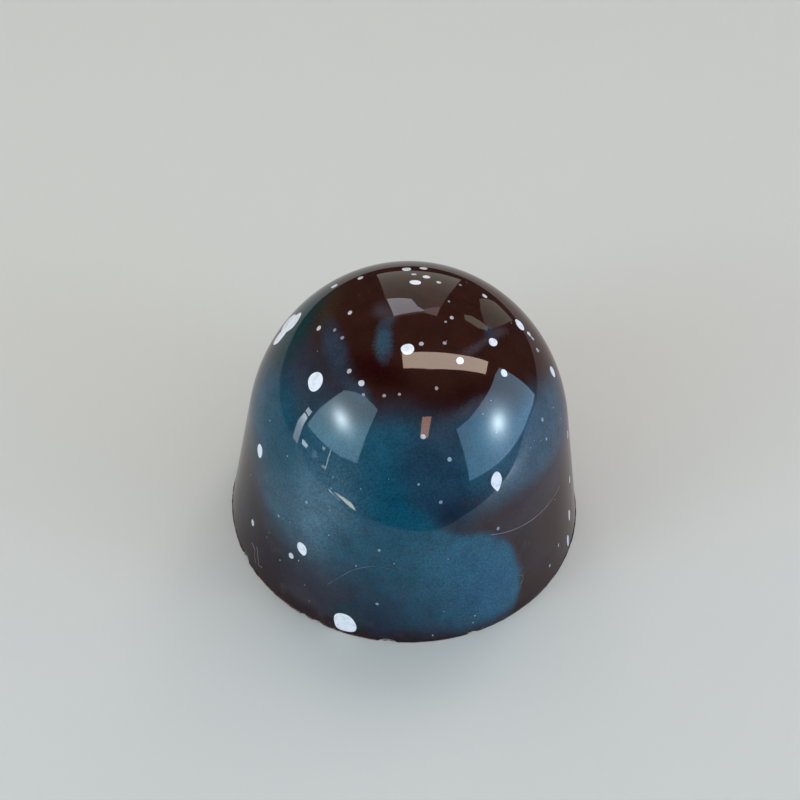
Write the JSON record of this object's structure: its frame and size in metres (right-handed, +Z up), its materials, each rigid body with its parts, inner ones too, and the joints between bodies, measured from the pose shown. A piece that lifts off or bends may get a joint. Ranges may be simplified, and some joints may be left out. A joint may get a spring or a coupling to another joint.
{
  "type": "chocolate praline",
  "caption": "Moulded dark chocolate praline: a glossy dome on a slightly conical wall with a flat underside, airbrushed in blue and teal clouds with white splatter.",
  "frame": {"origin": "centre of the flat underside, at the bottom centre of the bounding box", "axes": "+Z up along the axis of the dome, -Y towards the front (the side with the broad teal and blue cloud), +X to the right seen from the front"},
  "size_m": [0.029, 0.029, 0.023],
  "materials": {
    "painted_chocolate": "mirror gloss, dark chocolate airbrushed in soft blue, teal and brown clouds",
    "white_cocoa_butter": "gloss, opaque white splatter set flush in the surface",
    "bare_chocolate": "satin, scraped and chipped dark chocolate"
  },
  "bodies": {
    "root": {"praline": "painted_chocolate"}
  },
  "joints": []
}
